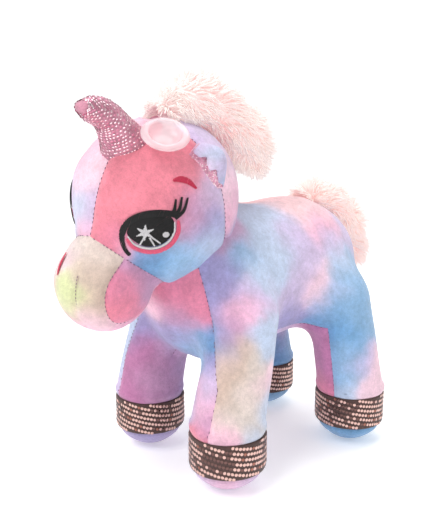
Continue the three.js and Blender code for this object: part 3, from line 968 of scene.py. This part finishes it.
def build_bands():
    for end, side, name in LEGS:
        x, y = side * LEG_X[end], FOOT_Y[end]
        cloth = Builder()
        profile = [(-0.9, 12.8), (0.2, 13.2), (0.5, 14), (0.5, 31.6), (0.35, 32.4), (-0.6, 32.8)]
        around = 72
        ring = []
        for out, z in profile:
            for k in range(around):
                a = 2 * math.pi * k / around
                r = BAND_RADIUS + out
                ring.append((x + r * math.cos(a), y + r * math.sin(a), z))
        cloth.add(ring, tube_faces(len(profile), around, False))
        band = cloth.make(f"{name}_band_cloth", BAND_CLOTH)
        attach(band, name)
        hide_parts(f"{name}_hoof_band")
        discs = Builder()
        number = int(2 * math.pi * (BAND_RADIUS + 0.7) / SEQUIN_PITCH)
        front = math.atan2(-1, 0.55 * side)
        for row in range(-2, 9):
            for k in range(number):
                a = 2 * math.pi * (k + 0.5 * (row % 2) + 0.12 * row) / number
                slant = ROW_SLANT * BAND_RADIUS * math.sin(a - ROW_FACING)
                z = BAND_BOTTOM + 1 + row * ROW_PITCH - slant + RANDOM.normal(0, 0.06)
                if not BAND_BOTTOM + 0.5 < z < BAND_TOP - 0.1:
                    continue
                normal = np.array([math.cos(a), math.sin(a), 0.0])
                along = np.array([0, 0, 1.0])
                away = abs((a - front + math.pi) % (2 * math.pi) - math.pi)
                dark = math.exp(-((away / 0.5) ** 2)) * math.exp(-(((z - 24) / 6.5) ** 2))
                draw = RANDOM.random()
                slot = 2 if draw < 0.05 + 0.8 * dark else (1 if draw < 0.16 + 0.6 * dark else 0)
                place = np.array([x, y, z]) + normal * (BAND_RADIUS + 0.62)
                sequin(discs, place, tilted(normal, 0.1), along, SEQUIN_RADIUS, slot)
        piece = discs.make(f"{name}_band_sequins", COPPER, BRONZE, MIRROR)
        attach(piece, name)


# ---------- horn ----------
HORN_PATH = [(0, -15, 36), (0, -19, 46), (0, -25, 56), (0, -34, 62.5), (0, -38, 64.8)]
HORN_WIDTH = [13.4, 10.2, 7.4, 5.8, 4.4]


def between(p0, p1, p2, p3, f):
    """A smooth curve's point at a fraction f of the way from p1 to p2."""
    return p1 + 0.5 * f * (p2 - p0 + f * (2 * p0 - 5 * p1 + 4 * p2 - p3 + f * (3 * (p1 - p2) + p3 - p0)))


def spline(values, t):
    """A smooth curve through values at whole numbers, at t from 0 to 1."""
    values = np.asarray(values, float)
    s = np.clip(t, 0, 1) * (len(values) - 1)
    i = min(int(s), len(values) - 2)
    f = s - i
    p0 = values[max(i - 1, 0)]
    p1, p2 = values[i], values[i + 1]
    p3 = values[min(i + 2, len(values) - 1)]
    return between(p0, p1, p2, p3, f)


def along_path(path, t, step):
    """The point at t on a path and the direction in which the path goes there."""
    ahead = spline(path, min(t + step, 1)) - spline(path, max(t - step, 0))
    return spline(path, t), ahead / np.linalg.norm(ahead)


def horn_frame(t):
    centre, ahead = along_path(HORN_PATH, t, 0.02)
    side = np.array([1.0, 0, 0])
    up = np.cross(ahead, side)
    return centre, ahead, side, up, float(spline(HORN_WIDTH, t))


def horn_point(t, a):
    centre, ahead, side, up, r = horn_frame(t)
    fold = 1 + 0.05 * math.sin(3 * a + 5 * t) + 0.04 * math.sin(7 * t + 2 * a)
    flat = 1 - 0.3 * max(0, (t - 0.75) / 0.25)
    out = side * math.cos(a) + up * math.sin(a) * flat
    return centre + out * r * fold, out / np.linalg.norm(out), ahead


def build_horn():
    build = Builder()
    rings, around = 44, 56
    points = []
    for i in range(rings):
        for k in range(around):
            place, _, _ = horn_point(i / (rings - 1), 2 * math.pi * k / around)
            points.append(place)
    for shrink, step in ((0.8, 0.9), (0.45, 1.5), (0.12, 1.7)):
        centre, ahead, _, _, _ = horn_frame(1)
        for k in range(around):
            place, _, _ = horn_point(1, 2 * math.pi * k / around)
            points.append(centre + (place - centre) * shrink + ahead * step)
    build.add(to_world(points), tube_faces(rings + 3, around, True))
    horn = build.make("horn_cloth", HORN_CLOTH)
    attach(horn, "head")
    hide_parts("horn_cover", "horn_stuffing")
    discs = Builder()
    rows = 24
    for row in range(rows):
        t = 0.12 + 0.9 * row / rows
        _, _, _, _, r = horn_frame(min(t, 1))
        number = max(6, int(2 * math.pi * r / 1.9))
        for k in range(number):
            a = 2 * math.pi * (k + 0.5 * (row % 2)) / number + RANDOM.normal(0, 0.02)
            place, normal, ahead = horn_point(min(t, 1), a)
            place = to_world(place + normal * 0.12)
            normal = HEAD_TURN @ tilted(normal, 0.16)
            slot = 1 if RANDOM.random() < 0.35 else 0
            sequin(discs, place, normal, HEAD_TURN @ ahead, 0.58 + 0.12 * RANDOM.random(), slot)
    piece = discs.make("horn_sequins", SILVER, ROSE)
    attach(piece, "head")


# ---------- embroidery ----------
EYE_AZIMUTH = 39.6
RIGHT_EYE_AZIMUTH = 56
RIGHT_BROW_AZIMUTH = 46
EYE_ELEVATION = 9.5
EYE_SCALE = (0.83, 0.78)
EYE_SHIFT = (-0.3, -3)
NOSTRIL_AZIMUTH = 9.6
NOSTRIL_ELEVATION = -10


def heading(side, azimuth, elevation):
    """The direction at an azimuth from the nose towards a side, and at an elevation."""
    a, e = math.radians(azimuth), math.radians(elevation)
    return np.array([side * math.sin(a) * math.cos(e), -math.cos(a) * math.cos(e), math.sin(e)])


def on_head(side, azimuth, elevation, u, v, lift, tilt=0.0):
    """A point on the head, u across and v up in millimetres from where a direction leaves it."""
    d = heading(side, azimuth, elevation)
    across = np.cross((0, 0, 1), d)
    across /= np.linalg.norm(across)
    up = np.cross(d, across)
    c, s = math.cos(tilt), math.sin(tilt)
    u = np.asarray(u, float) * side
    v = np.asarray(v, float)
    start = np.outer(u * c - v * s * side, across) + np.outer(v * c + u * s * side, up) + d * 75
    t = np.zeros(len(start))
    for _ in range(40):
        t += head_local(start - d * t[:, None]) * 0.9
    place = start - d * t[:, None]
    _, slope = gradient(head_local, place)
    normal = slope / np.linalg.norm(slope, axis=1, keepdims=True)
    return place + normal * np.asarray(lift).reshape(-1, 1)


def smooth_outline(corners, count=14):
    """A closed smooth curve through corners."""
    c = np.asarray(corners, float)
    n = len(c)
    points = []
    for i in range(n):
        p0, p1, p2, p3 = c[i - 1], c[i], c[(i + 1) % n], c[(i + 2) % n]
        for f in np.linspace(0, 1, count, endpoint=False):
            points.append(between(p0, p1, p2, p3, f))
    return np.array(points)


def satin(build, outline, angle, lift, place, pitch=0.5):
    """Fills an outline with parallel ridges of thread."""
    c, s = math.cos(angle), math.sin(angle)
    turn = np.array([[c, -s], [s, c]])
    flat = outline @ turn
    low, high = flat[:, 1].min(), flat[:, 1].max()
    following = np.roll(flat, -1, 0)
    for y in np.arange(low + pitch * 0.4, high, pitch):
        y_row = y + RANDOM.normal(0, 0.03)
        hit = (flat[:, 1] > y_row) != (following[:, 1] > y_row)
        a, b = flat[hit], following[hit]
        xs = np.sort(a[:, 0] + (y_row - a[:, 1]) / (b[:, 1] - a[:, 1]) * (b[:, 0] - a[:, 0]))
        for x0, x1 in zip(xs[::2], xs[1::2]):
            if x1 - x0 < 0.3:
                continue
            steps = max(3, int((x1 - x0) / 1.6) + 2)
            x = np.linspace(x0 - 0.12, x1 + 0.12, steps)
            rows = []
            for dy, dz in ((-0.55, 0.0), (0.0, 0.34), (0.55, 0.0)):
                uv = np.stack([x, np.full(steps, y_row + dy * pitch)], -1) @ turn.T
                bend = np.sin(np.linspace(0, math.pi, steps)) ** 0.5 * 0.12
                rows.append(place(uv[:, 0], uv[:, 1], lift + dz + bend))
            faces = []
            for r in (0, steps):
                for k in range(r, r + steps - 1):
                    faces.append([k, k + 1, k + steps + 1, k + steps])
            build.add(to_world(np.concatenate(rows)), faces)


def stroke(path, widths, count=10):
    """The outline of a brush stroke along a path."""
    t = np.linspace(0, 1, count * len(path))
    middle = np.array([spline(path, s) for s in t])
    width = np.array([spline(widths, s) for s in t])
    ahead = np.gradient(middle, axis=0)
    ahead /= np.linalg.norm(ahead, axis=1, keepdims=True)
    side = np.stack([-ahead[:, 1], ahead[:, 0]], -1) * width[:, None] / 2
    return np.concatenate([middle + side, (middle - side)[::-1]])


# Outlines on the head's left, in millimetres across and up from the middle of the eye.
IRIS = [(-12.6, 0.6), (-9.5, 7.4), (-2, 11), (7, 11.4), (14.2, 8)]
IRIS += [(13.6, -1), (8, -6.6), (1, -8.4), (-6, -6.6)]
LID = [(-13.2, -13.4), (-15.2, -9.5), (-16.4, -3), (-14.6, 4.2)]
LID += [(-9, 10), (-1.5, 12.9), (7, 13), (16, 11)]
LID_WIDTHS = [2.2, 2.6, 3.0, 3.8, 4.2, 4.0, 4.0, 3.0]
WHITE_RIM = [(-12.6, -0.5), (-9.4, -6), (-3, -9.2), (4, -9.4), (10.5, -6.2), (14.4, 0), (15, 6)]
PINK_RIM = [(-13.4, -2), (-10.8, -8), (-4, -11.6), (4, -12), (11.6, -8.6), (16.4, -1), (17.2, 6.4)]
LASHES = [
    ([(12, 10), (15.4, 13), (17, 19.4)], [3.0, 1.8, 0.9]),
    ([(14, 9.5), (18.2, 12.8), (20.4, 20)], [3.0, 1.8, 0.9]),
    ([(15.4, 8.4), (20.6, 11.6), (23.6, 18.8)], [3.0, 1.8, 0.9]),
]
STAR_CENTRE = (-2.2, 1.6)
RAYS = [((-3, -1.5), (-6.4, -6.8)), ((0, -1.6), (2.2, -8)), ((1, -1.4), (5.6, -6.6))]
BROW = [(16.4, 30.4), (20.5, 30.2), (25, 27.6), (29, 22.6)]
BROW_WIDTHS = [1.2, 3.0, 2.6, 0.8]


def star_outline(centre, long, short, arms=6, turn=0.35):
    points = []
    for k in range(arms * 4):
        a = turn + 2 * math.pi * k / (arms * 4)
        r = (long, short, short * 0.8, short)[k % 4]
        spread = (0, 0.12, 0, -0.12)[k % 4]
        points.append((centre[0] + r * math.cos(a + spread), centre[1] + r * math.sin(a + spread)))
    return np.array(points)


def disc_outline(centre, radius):
    a = np.linspace(0, 2 * math.pi, 20, endpoint=False)
    return np.stack([centre[0] + radius * np.cos(a), centre[1] + radius * np.sin(a)], -1)


def build_eye(side, word):
    def placed_at(azimuth):
        def place(u, v, lift):
            across, up = EYE_SCALE[0] * u + EYE_SHIFT[0], EYE_SCALE[1] * v + EYE_SHIFT[1]
            return on_head(side, azimuth, EYE_ELEVATION, across, up, lift)

        return place

    place = placed_at(EYE_AZIMUTH if side > 0 else RIGHT_EYE_AZIMUTH)
    place_brow = placed_at(EYE_AZIMUTH if side > 0 else RIGHT_BROW_AZIMUTH)
    black = Builder()
    satin(black, smooth_outline(IRIS), 0.5, 0.25, place)
    satin(black, stroke(LID, LID_WIDTHS), 1.1, 0.45, place)
    for path, widths in LASHES:
        satin(black, stroke(path, widths), -0.3, 0.45, place)
    eye = black.make(f"eye_black_{word}", BLACK_THREAD)
    white = Builder()
    satin(white, stroke(WHITE_RIM, [0.6, 1.0, 1.2, 1.2, 1.1, 0.9, 0.5]), 1.2, 0.5, place, 0.42)
    satin(white, star_outline(STAR_CENTRE, 5.8, 2.5), 0.9, 0.75, place, 0.42)
    satin(white, disc_outline((9.4, -1.2), 1.8), 0.2, 0.75, place, 0.42)
    for start, stop in RAYS:
        satin(white, stroke([start, stop], [0.9, 0.7]), 0.2, 0.75, place, 0.42)
    shine = white.make(f"eye_white_{word}", WHITE_THREAD)
    pink = Builder()
    satin(pink, stroke(PINK_RIM, [1.6, 2.6, 3.0, 3.0, 2.8, 2.4, 1.2]), 0.15, 0.4, place)
    rim = pink.make(f"eye_pink_{word}", PINK_THREAD)
    brow = Builder()
    satin(brow, stroke(BROW, BROW_WIDTHS), 1.2, 0.3, place_brow)
    arc = brow.make(f"eyebrow_{word}", CRIMSON_THREAD)
    for piece in (eye, shine, rim, arc):
        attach(piece, "head")
    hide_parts(f"eye_embroidery_{word}")
    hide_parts(f"eyebrow_embroidery_{word}")


def build_nostril():
    def place(u, v, lift):
        return on_head(-1, NOSTRIL_AZIMUTH, NOSTRIL_ELEVATION, u, v, lift)

    dash = Builder()
    satin(dash, stroke([(-1.6, -3.4), (0, 0), (0.9, 3)], [0.9, 2.2, 0.9]), 0.1, 0.3, place, 0.42)
    piece = dash.make("nostril_right", CRIMSON_THREAD)
    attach(piece, "head")
    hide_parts("nostril_embroidery_right")


# ---------- ears ----------
EAR_ROOT = (26, 1.6, 32.8)
EAR_ALONG = (0.5, 0.3, -0.8)
EAR_OUT = (0.86, -0.5, 0.43)
EAR_LENGTH = 24
EAR_WIDTH = 17


def ear_axes(side):
    mirror = np.array([side, 1, 1])
    along = np.array(EAR_ALONG) * mirror
    along /= np.linalg.norm(along)
    out = np.array(EAR_OUT) * mirror
    out -= along * (out @ along)
    out /= np.linalg.norm(out)
    across = np.cross(along, out) * side
    return np.array(EAR_ROOT) * mirror, along, out, across


def ear_width(t):
    """Half the ear's width at t along it, from root to tip."""
    swell = 0.62 + 0.75 * math.sin(math.pi * min(t * 0.9 + 0.05, 1))
    return EAR_WIDTH * 0.5 * swell * math.sqrt(max(1 - t**3, 0))


def ear_sheet(side, low, high, height, thick, edge=None):
    """A closed padded sheet over the ear from low to high across it, with height above its root."""
    root, along, out, across = ear_axes(side)
    rows, columns = 26, 16
    top, bottom = [], []
    for i in range(rows):
        t = i / (rows - 1)
        for j in range(columns):
            s = j / (columns - 1)
            stop = high + (edge(t) if edge else 0)
            u = low + (stop - low) * s
            w = ear_width(t)
            bow = height(t, u)
            rim = thick * min(1, 4 * s * (1 - s) * 2 + 0.1) * min(1, 6 * (1 - t) + 0.05)
            middle = root + along * EAR_LENGTH * t + across * w * u + out * bow
            top.append(middle + out * rim / 2)
            bottom.append(middle - out * rim / 2)
    points = np.array(top + bottom)
    n = rows * columns
    faces = []
    for i in range(rows - 1):
        for j in range(columns - 1):
            a = i * columns + j
            quad = [a, a + 1, a + columns + 1, a + columns]
            faces.append(quad)
            faces.append([v + n for v in quad[::-1]])
    border = list(range(columns))
    border += [i * columns + columns - 1 for i in range(1, rows)]
    border += [(rows - 1) * columns + j for j in range(columns - 2, -1, -1)]
    border += [i * columns for i in range(rows - 2, 0, -1)]
    for a, b in zip(border, border[1:] + border[:1]):
        faces.append([b, a, a + n, b + n])
    if side < 0:
        faces = [face[::-1] for face in faces]
    return points, faces


def build_ear(side, word):
    def base_height(t, u):
        return 4.2 + 1.6 * math.sin(math.pi * t) - 1.2 * u * u

    def fold_height(t, u):
        return 6.6 + 2.2 * math.sin(math.pi * min(t * 1.1, 1)) - 1.6 * u * u - 1.5 * t

    def ragged(t):
        return 0.14 * math.sin(t * 17) + 0.05 * math.sin(t * 37 + 1)

    root, along, out, across = ear_axes(side)
    lining_points, lining_faces = ear_sheet(side, -0.98, 0.98, base_height, 1.3)
    lining = Builder()
    lining.add(to_world(lining_points), lining_faces)
    piece = lining.make(f"ear_glitter_{word}", GLITTER_CLOTH)
    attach(piece, f"ear_{word}")
    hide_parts(f"ear_lining_{word}")
    dye = [
        ("lilac", root + out * 6, 9),
        ("ice", root + along * 8 + out * 8 - across * 4, 6),
        ("pale_pink", root + along * 13 + out * 8 + across, 5),
        ("lilac", root + along * 17 + out * 8 - across * 4, 6),
        ("sky", root + along * 23 + out * 6, 6),
    ]
    plush = Builder()
    for low, high, height, edge in (
        (-1.06, 1.02, lambda t, u: base_height(t, u) - 1.7, None),
        (-1.08, -0.12, fold_height, ragged),
    ):
        points, faces = ear_sheet(side, low, high, height, 2.0, edge)
        plush.add(to_world(points), faces, 0, dye_colours(dye, points))
    outer = plush.make(f"ear_plush_{word}", PLUSH)
    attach(outer, f"ear_{word}")
    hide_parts(f"ear_outer_{word}")
    specks = Builder()
    for _ in range(420):
        t, u = RANDOM.uniform(0.04, 0.94), RANDOM.uniform(-0.9, 0.92)
        place = root + along * EAR_LENGTH * t + across * ear_width(t) * u + out * (base_height(t, u) + 0.72)
        sequin(specks, to_world(place), HEAD_TURN @ tilted(out, 0.35), HEAD_TURN @ along, 0.3, 0)
    glitter = specks.make(f"ear_specks_{word}", SILVER)
    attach(glitter, f"ear_{word}")


# ---------- fur ----------
MANE_PATH = [(0, 14, 44), (2, 28, 46), (6, 45, 38), (11, 59, 22), (14, 65, 7), (15, 63, -1)]
MANE_CORE = [5.5, 11.5, 13, 12, 9.5, 5]
TAIL_PATH = [(2, 58, 149), (2, 74, 150), (2, 90, 140), (3, 99, 125), (3, 104, 111)]
TAIL_CORE = [7, 10, 11, 9.5, 6]


def sweep_core(path, radii, rings=40, around=28):
    points = []
    for i in range(rings):
        t = i / (rings - 1)
        centre, ahead = along_path(path, t, 0.03)
        side = np.array([1.0, 0, 0])
        up = np.cross(side, ahead)
        r = float(spline(radii, t))
        for k in range(around):
            a = 2 * math.pi * k / around
            points.append(centre + (side * math.cos(a) + up * math.sin(a)) * r)
    return np.array(points), tube_faces(rings, around, True)


def tuft(build, root, direction, droop, length, radius, base, tip):
    """One lock of fur that bends and tapers to its tip."""
    segments = 4
    direction = direction / np.linalg.norm(direction)
    side = np.cross(direction, (0.31, 0.7, 0.65))
    side /= np.linalg.norm(side)
    points, colours = [], []
    place = root.copy()
    for i in range(segments + 1):
        t = i / segments
        step = direction + droop * t
        step /= np.linalg.norm(step)
        if i:
            place = place + step * length / segments
        up = np.cross(step, side)
        r = radius * (1 - t) ** 0.7 + 0.05
        shade = base + (tip - base) * min(1, t * 1.25)
        for k in range(3):
            a = 2 * math.pi * k / 3
            points.append(place + (side * math.cos(a) + up * math.sin(a)) * r)
            colours.append(shade)
    build.add(points, tube_faces(segments + 1, 3, False), 0, colours)


def build_fur(name, body_name, node, path, radii, to_frame, turn, number, length, flow, shade):
    points, faces = sweep_core(path, radii)
    core = Builder()
    # The core takes each point's root colour; on the mane that includes the painted shade near the skull.
    core.add(to_frame(points), faces, 0, np.array([shade(p)[0] for p in points]))
    build = Builder()
    for _ in range(number):
        t = float(np.clip(RANDOM.uniform(-0.05, 1.05), 0, 1))
        a = RANDOM.uniform(0, 2 * math.pi)
        centre, ahead = along_path(path, t, 0.03)
        side = np.array([1.0, 0, 0])
        up = np.cross(side, ahead)
        normal = side * math.cos(a) + up * math.sin(a)
        root = centre + normal * float(spline(radii, t)) * 0.92
        clump = np.array([ripple(root[None], 9, s)[0] for s in (11, 12, 13)]) * 0.3
        sweep = -0.9 if t < 0.02 else 0.35
        direction = normal * 0.7 + ahead * sweep + clump * 2 + RANDOM.normal(0, 0.2, 3)
        base, tip = shade(root)
        size = length * RANDOM.uniform(0.7, 1.15)
        droop = flow * RANDOM.uniform(0.5, 1.1)
        start = to_frame(root[None])[0]
        tuft(build, start, turn @ direction, droop, size, RANDOM.uniform(0.55, 0.95), base, tip)
    inside = core.make(f"{name}_core", FUR)
    locks = build.make(f"{name}_locks", FUR)
    for piece in (inside, locks):
        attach(piece, body_name)
    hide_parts(node)


# Root and tip colours of the mane. The rose near the skull and the pinker tips there are painted shade; the
# whiter front end on top of the head is painted light.
def mane_shade(p):
    rose, pink, white = linear((238, 156, 166)), linear((253, 220, 218)), linear(PALETTE["white"])
    reach = float(np.linalg.norm(p))
    inner = np.clip((56 - reach) / 9, 0, 1)
    front = np.clip((34 - p[1]) / 14, 0, 1)
    base = rose * inner + pink * (1 - inner)
    base = base * (1 - 0.6 * front) + white * 0.6 * front
    warm = 0.08 + 0.5 * inner * (1 - front)
    return base, white * (1 - warm) + pink * warm


def tail_shade(p):
    cream, peach = linear((254, 240, 236)), linear((252, 216, 212))
    low = np.clip((130 - p[2]) / 30, 0, 1)
    return peach, cream * (1 - 0.3 * low) + peach * 0.3 * low


def same_frame(p):
    return np.asarray(p, float)


# ---------- the hanging cup ----------
CUP_MOUTH = (22.5, -9.2, 45.8)
CUP_DIRECTION = heading(1, 76, 67)


def cup_frame():
    z = CUP_DIRECTION
    x = np.cross((0, 1, 0), z)
    x /= np.linalg.norm(x)
    return np.array(CUP_MOUTH), np.stack([x, np.cross(z, x), z], -1)


def build_cup():
    origin, axes = cup_frame()
    inner = [(0.1, -3.7), (3.5, -3.4), (6.2, -2.4), (7.6, -0.9), (8.2, 0.3)]
    lip = [(9.2, 0.7), (10.8, 0.5), (11.8, -0.1), (12, -0.7), (11.2, -1.5)]
    outer = [(9, -2.7), (7, -4.2), (4.2, -5), (2.5, -5.3), (2.4, -7.8)]
    knob = [(4.1, -8.1), (4.2, -9), (3.6, -9.6), (0.1, -9.7)]
    profile = inner + lip + outer + knob
    fine = np.array([spline(profile, t) for t in np.linspace(0, 1, 56)])
    around = 72
    points = []
    for r, z in fine:
        for k in range(around):
            a = 2 * math.pi * k / around
            points.append(origin + axes @ np.array([r * math.cos(a), r * math.sin(a), z]))
    build = Builder()
    build.add(to_world(points), tube_faces(len(fine), around, True))
    cup = build.make("cup_clear", VINYL)
    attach(cup, "cup")
    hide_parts("suction_cup")


def build_strap():
    origin, axes = cup_frame()
    neck = origin + axes[:, 2] * -6.5
    path = [neck + (0, 0, 0.2), (17, -1.2, 44.4), (13, 2.5, 45), (8, 6.6, 45.4), (3, 10.5, 45)]
    build = Builder()
    rings = 24
    points = []
    for i in range(rings):
        t = i / (rings - 1)
        centre, ahead = along_path(path, t, 0.02)
        up = centre / np.linalg.norm(centre)
        side = np.cross(ahead, up)
        side /= np.linalg.norm(side)
        up = np.cross(side, ahead)
        width = 3.5 - 0.5 * math.sin(math.pi * t)
        for a in np.linspace(0, 2 * math.pi, 12, endpoint=False):
            c, s = math.cos(a), math.sin(a)
            squared = (abs(c) ** 0.5 * np.sign(c), abs(s) ** 0.5 * np.sign(s))
            points.append(centre + side * width * squared[0] + up * 0.6 * squared[1])
    build.add(to_world(points), tube_faces(rings, 12, True))
    strap = build.make("cup_tab_clear", VINYL)
    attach(strap, "strap")
    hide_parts("cup_strap")


# ---------- floor, light and camera ----------
def build_stage():
    size = 3000
    bend = []
    for k in range(13):
        a = math.pi / 2 * k / 12
        bend.append((600 * math.sin(a), 600 - 600 * math.cos(a)))
    forward = np.array([-math.sin(math.radians(CAMERA_AZIMUTH)), math.cos(math.radians(CAMERA_AZIMUTH))])
    points = []
    line = [(-size, 0)] + [(900 + d, z) for d, z in bend] + [(1500, 2200)]
    sideways = np.array([forward[1], -forward[0]])
    for d, z in line:
        for s in (-size, size):
            xy = forward * d + sideways * s
            points.append((xy[0], xy[1], z))
    faces = [[2 * i, 2 * i + 1, 2 * i + 3, 2 * i + 2] for i in range(len(line) - 1)]
    material, tree, shader = new_material("pale_floor")
    grain = noise_node(tree, 3, 2.0)
    colour = tree.nodes.new("ShaderNodeRGB")
    colour.outputs[0].default_value = (0.93, 0.93, 0.93, 1)
    speckled(tree, shader, colour.outputs[0], [grain], 0.99, 1.0)
    shader.inputs["Roughness"].default_value = 0.95
    shader.inputs["Emission Color"].default_value = (1, 1, 1, 1)
    shader.inputs["Emission Strength"].default_value = 0.3
    floor = make_mesh("floor", points, faces, material)
    floor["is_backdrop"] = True


def add_light(name, azimuth, elevation, distance, size, power):
    target = Vector((0, 0, 0.11))
    a, e = math.radians(azimuth), math.radians(elevation)
    direction = Vector((math.sin(a) * math.cos(e), -math.cos(a) * math.cos(e), math.sin(e)))
    lamp = bpy.data.lights.new(name, "AREA")
    lamp.shape = "DISK"
    lamp.size = size
    lamp.energy = power
    holder = bpy.data.objects.new(name, lamp)
    holder.location = target + direction * distance
    holder.rotation_euler = direction.to_track_quat("Z", "Y").to_euler()
    bpy.context.scene.collection.objects.link(holder)


def build_lights():
    world = bpy.data.worlds.new("studio")
    world.use_nodes = True
    world.node_tree.nodes["Background"].inputs["Color"].default_value = (1, 1, 1, 1)
    world.node_tree.nodes["Background"].inputs["Strength"].default_value = 0.44
    bpy.context.scene.world = world
    add_light("key", 5, 50, 1.1, 0.7, 8)
    add_light("fill", 100, 40, 1.2, 0.9, 1.8)
    add_light("top", 190, 72, 1.1, 0.8, 5.5)


def build_camera():
    a, e = math.radians(CAMERA_AZIMUTH), math.radians(CAMERA_ELEVATION)
    back = Vector((math.sin(a) * math.cos(e), -math.cos(a) * math.cos(e), math.sin(e)))
    camera = bpy.data.cameras.new("camera")
    camera.lens = CAMERA_LENS
    camera.sensor_width = 36
    holder = bpy.data.objects.new("camera", camera)
    holder.location = Vector(CAMERA_TARGET) * MM + back * CAMERA_DISTANCE * MM
    holder.rotation_euler = back.to_track_quat("Z", "Y").to_euler()
    bpy.context.scene.collection.objects.link(holder)
    bpy.context.scene.camera = holder


bpy.context.scene.view_settings.view_transform = "Standard"
build_camera()
build_stage()
build_lights()
build_head()
build_neck()
build_body()
build_bands()
build_horn()
for ear_side, ear_word in ((1, "left"), (-1, "right")):
    build_eye(ear_side, ear_word)
    build_ear(ear_side, ear_word)
build_nostril()
build_fur(
    "mane", "head", "mane_fur", MANE_PATH, MANE_CORE, to_world, HEAD_TURN,
    4600, 9, np.array([0, 0.1, -0.5]), mane_shade,
)
build_fur(
    "tail", "tail", "tail_fur", TAIL_PATH, TAIL_CORE, same_frame, np.eye(3),
    3400, 9, np.array([0, 0.1, -0.5]), tail_shade,
)
build_cup()
build_strap()

boxes = {"cad": cad_box, "visual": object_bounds()}
{k: [list(map(float, c)) for c in v] for k, v in boxes.items()}
